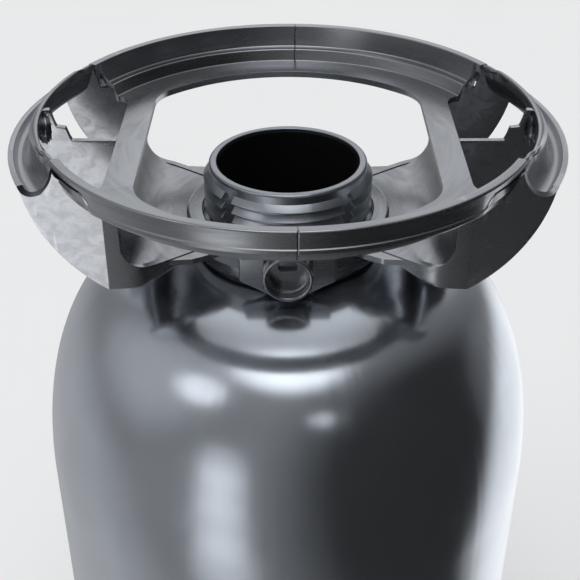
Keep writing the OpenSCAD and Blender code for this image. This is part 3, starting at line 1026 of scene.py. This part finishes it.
# The camera: its place in metres, how far it looks down, its lens and its sideways shift
CAMERA_AT = (0.0, -0.35839, 0.53598)
CAMERA_DOWN, LENS_MM, LENS_SHIFT = 33.225, 66.33, 0.00345
# The card that lights the left ribs: its place and the point that it faces, in metres
CARD_AT, CARD_FACES = (-0.1015, -0.1546, 0.298), (-0.075, -0.0435, 0.360)


def towards(azimuth, elevation):
    """A unit vector, azimuth from the front towards the right."""
    a, e = math.radians(azimuth), math.radians(elevation)
    return Vector((math.sin(a) * math.cos(e), -math.cos(a) * math.cos(e), math.sin(e)))


def surround_world(scene, base):
    """The studio's walls: an even grey with soft bright and dark patches, pale to the eye."""
    world = bpy.data.worlds.new("studio_surround")
    scene.world = world
    world.use_nodes = True
    tree = world.node_tree
    tree.nodes.clear()
    new, link = tree.nodes.new, tree.links.new
    direction = new("ShaderNodeTexCoord").outputs["Generated"]
    total = None
    for azimuth, elevation, inner, outer, amount in SURROUND_PATCHES:
        dot = new("ShaderNodeVectorMath")
        dot.operation = "DOT_PRODUCT"
        link(direction, dot.inputs[0])
        dot.inputs[1].default_value = towards(azimuth, elevation)
        edge = new("ShaderNodeMapRange")
        edge.interpolation_type = "SMOOTHSTEP"
        link(dot.outputs["Value"], edge.inputs[0])
        for slot, value in zip((1, 2, 3, 4), (math.cos(math.radians(outer)),
                                              math.cos(math.radians(inner)), 0.0, amount)):
            edge.inputs[slot].default_value = value
        add = new("ShaderNodeMath")
        add.operation = "ADD"
        link(edge.outputs[0], add.inputs[0])
        if total is None:
            add.inputs[1].default_value = base
        else:
            link(total, add.inputs[1])
        total = add.outputs[0]
    least = new("ShaderNodeMath")
    least.operation = "MAXIMUM"
    link(total, least.inputs[0])
    least.inputs[1].default_value = SURROUND_LEAST
    walls, pale = new("ShaderNodeBackground"), new("ShaderNodeBackground")
    link(least.outputs[0], walls.inputs["Strength"])
    walls.inputs["Color"].default_value = (0.97, 0.985, 1.0, 1.0)
    pale.inputs["Color"].default_value = (0.80, 0.80, 0.80, 1.0)
    eye = new("ShaderNodeLightPath")
    mix = new("ShaderNodeMixShader")
    link(eye.outputs["Is Camera Ray"], mix.inputs[0])
    link(walls.outputs[0], mix.inputs[1])
    link(pale.outputs[0], mix.inputs[2])
    link(mix.outputs[0], new("ShaderNodeOutputWorld").inputs[0])


def card_receivers():
    """The pieces that the small card lights: the ribs, and nothing else."""
    name = "lit_by_left_card"
    return bpy.data.collections.get(name) or bpy.data.collections.new(name)


def lamp(scene, name, kind, position, target, power):
    """A lamp that the camera doesn't see, turned towards a point."""
    light = bpy.data.lights.new(name, kind)
    light.energy = power
    holder = bpy.data.objects.new(name, light)
    holder.location = position
    holder.rotation_euler = (Vector(target) - Vector(position)).to_track_quat("-Z", "Y").to_euler()
    holder.visible_camera = False
    scene.collection.objects.link(holder)
    return holder


class KEG_OT_stage(bpy.types.Operator):
    """Sets up the floor, the soft light and the camera"""

    bl_idname = "keg.stage"
    bl_label = "Stage"

    def execute(self, context):
        s = context.scene.keg_studio
        scene = context.scene
        bm = bmesh.new()
        bmesh.ops.create_grid(bm, x_segments=1, y_segments=1, size=4.0)
        mesh = bpy.data.meshes.new("studio_floor")
        bm.to_mesh(mesh)
        bm.free()
        f = Finish("pale_floor")
        grain = f.grain(f.object, 6, 3)
        f.feed(f.shader.inputs["Base Color"],
               f.blend(grain, rgba(s.floor_colour, 0.985), rgba(s.floor_colour, 1.015)))
        f.shader.inputs["Roughness"].default_value = 0.9
        f.shader.inputs["Specular IOR Level"].default_value = 0.1
        mesh.materials.append(f.material)
        floor = bpy.data.objects.new("studio_floor", mesh)
        scene.collection.objects.link(floor)
        floor.visible_glossy = False
        surround_world(scene, s.surround)
        # An even light from the whole ceiling, which the gloss doesn't mirror
        ceiling = lamp(scene, "ceiling", "SUN", (-0.1, -0.05, 1.9), (0, 0, 0.1), s.ceiling_light)
        ceiling.data.angle = math.radians(75)
        ceiling.visible_glossy = False
        # A small card low in front on the left, for the faces of the ribs on that side
        card = lamp(scene, "left_card", "AREA", CARD_AT, CARD_FACES, s.card_power)
        card.data.shape = "DISK"
        card.data.size = 0.12
        card.light_linking.receiver_collection = card_receivers()
        scene.view_settings.view_transform = "Standard"
        lens = bpy.data.cameras.new("camera")
        lens.lens = LENS_MM
        lens.sensor_width = 36.0
        lens.shift_x = LENS_SHIFT
        camera = bpy.data.objects.new("camera", lens)
        camera.location = CAMERA_AT
        camera.rotation_euler = (math.radians(90 - CAMERA_DOWN), 0.0, 0.0)
        scene.collection.objects.link(camera)
        scene.camera = camera
        return {"FINISHED"}


class KEG_PT_panel(bpy.types.Panel):
    """Lists the keg's pieces and their settings"""

    bl_label = "Keg"
    bl_idname = "KEG_PT_panel"
    bl_space_type = "VIEW_3D"
    bl_region_type = "UI"
    bl_category = "Keg"

    def draw(self, context):
        column = self.layout.column(align=True)
        for name in STEPS:
            column.operator("keg." + name)
        for group in ("keg_vessel", "keg_handle", "keg_studio"):
            settings = getattr(context.scene, group)
            box = self.layout.box()
            for prop in settings.bl_rna.properties:
                if prop.identifier not in ("rna_type", "name"):
                    box.prop(settings, prop.identifier)


STEPS = ("stage", "vessel", "liner", "rim", "deck", "hub", "socket", "arms", "grips", "ribs")
SETTINGS = {"keg_vessel": KegVesselSettings, "keg_handle": KegHandleSettings,
            "keg_studio": KegStudioSettings}
CLASSES = (*SETTINGS.values(), KEG_OT_stage, KEG_OT_vessel, KEG_OT_liner, KEG_OT_rim,
           KEG_OT_deck, KEG_OT_hub, KEG_OT_socket, KEG_OT_arms, KEG_OT_grips, KEG_OT_ribs,
           KEG_PT_panel)


def register():
    for cls in CLASSES:
        bpy.utils.register_class(cls)
    for name, cls in SETTINGS.items():
        setattr(bpy.types.Scene, name, PointerProperty(type=cls))


def unregister():
    for name in SETTINGS:
        delattr(bpy.types.Scene, name)
    for cls in reversed(CLASSES):
        bpy.utils.unregister_class(cls)


def main():
    register()
    for name in STEPS:
        getattr(bpy.ops.keg, name)()


if __name__ == "__main__":
    main()
